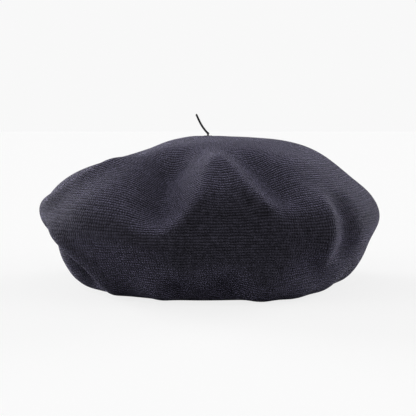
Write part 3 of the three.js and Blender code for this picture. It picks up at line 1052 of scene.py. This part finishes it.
class BERET_OT_hanging_labels(bpy.types.Operator):
    """Makes the folded tags that hang from the ribbon and the bars of thread that hold them"""

    bl_idname = "beret.hanging_labels"
    bl_label = "Hanging labels"

    def execute(self, context):
        for name, label in HANGING_LABELS.items():
            self.add_label(name, label)
            self.add_bar(name, label, context.scene.beret_trim)
        return {"FINISHED"}

    def turned(self, label):
        return Matrix.Translation(AXIS) @ Matrix.Rotation(math.radians(label["azimuth"]), 4, "Z")

    def add_label(self, name, label):
        """A strip folded at its lower end, so that its two leaves hang side by side."""
        shape = bmesh.new()
        top = LABEL_HINGE - 0.25 - GAP
        bottom = top - label["length"]
        half_wide, leaf = label["width"] / 2, label["thickness"] / 2
        front = []
        for i in range(9):
            bulge = LEAF_TOP + (leaf - LEAF_TOP - LEAF_INSET) * math.sin(math.pi * i / 16)
            front.append((bulge, top - (label["length"] - leaf) * i / 8))
        turn = leaf - LEAF_INSET
        angles = [math.pi * i / 6 for i in range(1, 6)]
        fold = [(turn * math.cos(angle), bottom + leaf - turn * math.sin(angle)) for angle in angles]
        path = front + fold + [(-y, z) for y, z in reversed(front)]
        verts = [shape.verts.new(Vector((-half_wide, -label["distance"] + y, z)) * MM) for y, z in path]
        edges = [shape.edges.new(pair) for pair in zip(verts, verts[1:])]
        steps = 8
        geometry = edges
        for _ in range(steps):
            made = bmesh.ops.extrude_edge_only(shape, edges=geometry)["geom"]
            moved = [item for item in made if isinstance(item, bmesh.types.BMVert)]
            bmesh.ops.translate(shape, verts=moved, vec=Vector((label["width"] / steps * MM, 0, 0)))
            geometry = [item for item in made if isinstance(item, bmesh.types.BMEdge)]
            geometry = [edge for edge in geometry if all(vert in moved for vert in edge.verts)]
        layer = shape.loops.layers.uv.new("rib")
        for face in shape.faces:
            for loop in face.loops:
                loop[layer].uv = (loop.vert.co.x / MM * 3.0, loop.vert.co.z / MM * 3.0)
        bmesh.ops.transform(shape, matrix=self.turned(label), verts=shape.verts)
        bmesh.ops.recalc_face_normals(shape, faces=shape.faces)
        satin = materials_of_trim()["satin_tag"]
        piece = finish_piece(f"{name}_cloth", shape, satin, name, name)
        wall = piece.modifiers.new("cloth thickness", "SOLIDIFY")
        wall.thickness = 0.2 * MM
        wall.offset = 0

    def add_bar(self, name, label, settings):
        shape = bmesh.new()
        count = round(label["width"] / BAR_STITCH["pitch"])
        first, y = -label["width"] / 2 + BAR_STITCH["end"], -label["distance"] - 0.1
        slant = Vector((BAR_STITCH["half_width"], 0, -BAR_STITCH["half_height"]))
        for i in range(count):
            x = first + (label["width"] - 2 * BAR_STITCH["end"]) * i / (count - 1)
            start, end = [(Vector((x, y, LABEL_HINGE)) + slant * side) * MM for side in (-1, 1)]
            add_stitch(shape, start, end, Vector((0, 1, 0)), settings.thread_radius)
        left, right = [
            Vector((label["width"] * side, -label["distance"], LABEL_HINGE)) * MM for side in (-0.46, 0.46)
        ]
        add_tube(shape, [left.lerp(right, i / 8) for i in range(9)], settings.thread_radius, 8)
        bmesh.ops.transform(shape, matrix=self.turned(label), verts=shape.verts)
        finish_stitches(f"{name}_bar", shape, f"{name}_stitch")


FELT_RADIUS = 12
FELT_DEPTHS = (3.4, 2.2)  # of the disc's two faces, under the crown's top
EYELET_STITCHES = 18


class BERET_OT_crown_backing(bpy.types.Operator):
    """Makes the felt disc inside the crown, its stitches and the thread round the eyelet"""

    bl_idname = "beret.crown_backing"
    bl_label = "Crown backing"

    def execute(self, context):
        settings = context.scene.beret_trim
        materials = materials_of_trim()
        low, high = [CROWN_TOP - depth for depth in FELT_DEPTHS]
        shape = bmesh.new()
        edge = FELT_RADIUS - 0.4
        section = [(1.3, low + 0.2), (3, low), (7, low), (edge, low), (FELT_RADIUS, low + 0.4)]
        section += [(FELT_RADIUS, high - 0.3), (edge, high), (7, high), (3, high), (1.3, high - 0.2)]
        section.append(section[0])
        spin_section(shape, section, 0, 360, 72)
        bmesh.ops.remove_doubles(shape, verts=shape.verts, dist=1e-6)
        bmesh.ops.recalc_face_normals(shape, faces=shape.faces)
        felt = finish_piece("crown_felt", shape, materials["wool_felt"], "crown_backing")
        shape = bmesh.new()
        add_round_of_stitches(shape, FELT_RADIUS - 1.8, low - 0.15, 26, (0.15, 0.75), settings.thread_radius)
        finish_stitches("crown_stitches", shape, "backing_stitching")
        shape = bmesh.new()
        for i in range(EYELET_STITCHES):
            azimuth = 360 * i / EYELET_STITCHES
            start = to_row(around_axis(EYELET_RADIUS - 0.1, azimuth, CROWN_TOP + 0.15))
            end = to_row(around_axis(EYELET_RADIUS + 1.5, azimuth + 6, CROWN_TOP + 0.3))
            add_stitch(shape, start, end, Vector((0, 0, 1)), settings.thread_radius)
        finish_stitches("eyelet_stitches", shape, "eyelet_thread")
        return {"FINISHED"}


# ------------------------------------------------------------------ stalk

STALK_BEND_RADIUS = 1.1
STALK_PIVOT = CROWN_TOP + 2.2
STALK_ROUTE = [(0, 0, 0), (-2.6, 0, 2.9), (-5.9, 0, 7.8), (-9.6, 0, 15.4)]
NECK_DEPTHS = (0.75, 1.3, 2.6, 4.0, 5.4)  # under the pivot, from clear of a stalk that is pressed flat
KNOT_DEPTH = 6.9  # under the crown's top
KNOT_STEPS = 40


class BERET_OT_stalk(bpy.types.Operator):
    """Makes the lace stalk, the bend at its foot and its knot inside the crown"""

    bl_idname = "beret.stalk"
    bl_label = "Stalk"

    def execute(self, context):
        settings = context.scene.beret_stalk
        material = lace_material(settings)
        pivot = Vector((0, 0, STALK_PIVOT))
        route = [to_row(pivot + point) for point in spline(STALK_ROUTE, 8)]
        shape = bmesh.new()
        add_tube(shape, route, settings.radius, 16, "twist")
        bmesh.ops.recalc_face_normals(shape, faces=shape.faces)
        finish_piece("stalk_lace", shape, material, "stalk", "stalk")
        shape = bmesh.new()
        bmesh.ops.create_uvsphere(
            shape, u_segments=16, v_segments=10, radius=STALK_BEND_RADIUS * MM,
            matrix=Matrix.Translation(to_row(pivot)), calc_uvs=False,
        )
        shape.loops.layers.uv.new("twist")
        finish_piece("stalk_bend", shape, material, "stalk_root", "stalk_root")
        self.add_knot(settings, material, pivot)
        return {"FINISHED"}

    def add_knot(self, settings, material, pivot):
        """The neck through the eyelet and a trefoil knot of the same lace under the felt."""
        shape = bmesh.new()
        neck = [to_row(pivot - Vector((0, 0, depth))) for depth in NECK_DEPTHS]
        centre = Vector((0, 0, CROWN_TOP - KNOT_DEPTH))
        for i in range(KNOT_STEPS + 1):
            angle = ROUND * i / KNOT_STEPS + math.pi / 2
            wide = 0.75 + 0.55 * math.cos(1.5 * angle)
            spot = Vector((wide * math.cos(angle), wide * math.sin(angle), 0.75 * math.sin(1.5 * angle)))
            neck.append(to_row(centre + spot * 1.2))
        add_tube(shape, neck, settings.radius, 12, "twist")
        bmesh.ops.recalc_face_normals(shape, faces=shape.faces)
        finish_piece("stalk_knot_lace", shape, material, "stalk_knot")


# ------------------------------------------------------------------ panel and registration

BUILD_ORDER = (
    BERET_OT_stage,
    BERET_OT_knit_shell,
    BERET_OT_closing_seam,
    BERET_OT_elastic,
    BERET_OT_sweatband,
    BERET_OT_maker_label,
    BERET_OT_hanging_labels,
    BERET_OT_crown_backing,
    BERET_OT_stalk,
)


class BERET_PT_panel(bpy.types.Panel):
    """Lists the beret's pieces in the sidebar"""

    bl_idname = "BERET_PT_panel"
    bl_label = "Beret"
    bl_space_type = "VIEW_3D"
    bl_region_type = "UI"
    bl_category = "Beret"

    def draw(self, context):
        for operator in BUILD_ORDER:
            self.layout.operator(operator.bl_idname)


SETTINGS = {
    "beret_shell": ShellSettings,
    "beret_trim": TrimSettings,
    "beret_stalk": StalkSettings,
    "beret_stage": StageSettings,
}


def register():
    for name, settings in SETTINGS.items():
        bpy.utils.register_class(settings)
        setattr(bpy.types.Scene, name, PointerProperty(type=settings))
    for operator in (*BUILD_ORDER, BERET_PT_panel):
        bpy.utils.register_class(operator)


def unregister():
    for operator in reversed((*BUILD_ORDER, BERET_PT_panel)):
        bpy.utils.unregister_class(operator)
    for name, settings in SETTINGS.items():
        delattr(bpy.types.Scene, name)
        bpy.utils.unregister_class(settings)


def main():
    register()
    for operator in BUILD_ORDER:
        group, name = operator.bl_idname.split(".")
        getattr(getattr(bpy.ops, group), name)()


if __name__ == "__main__":
    main()
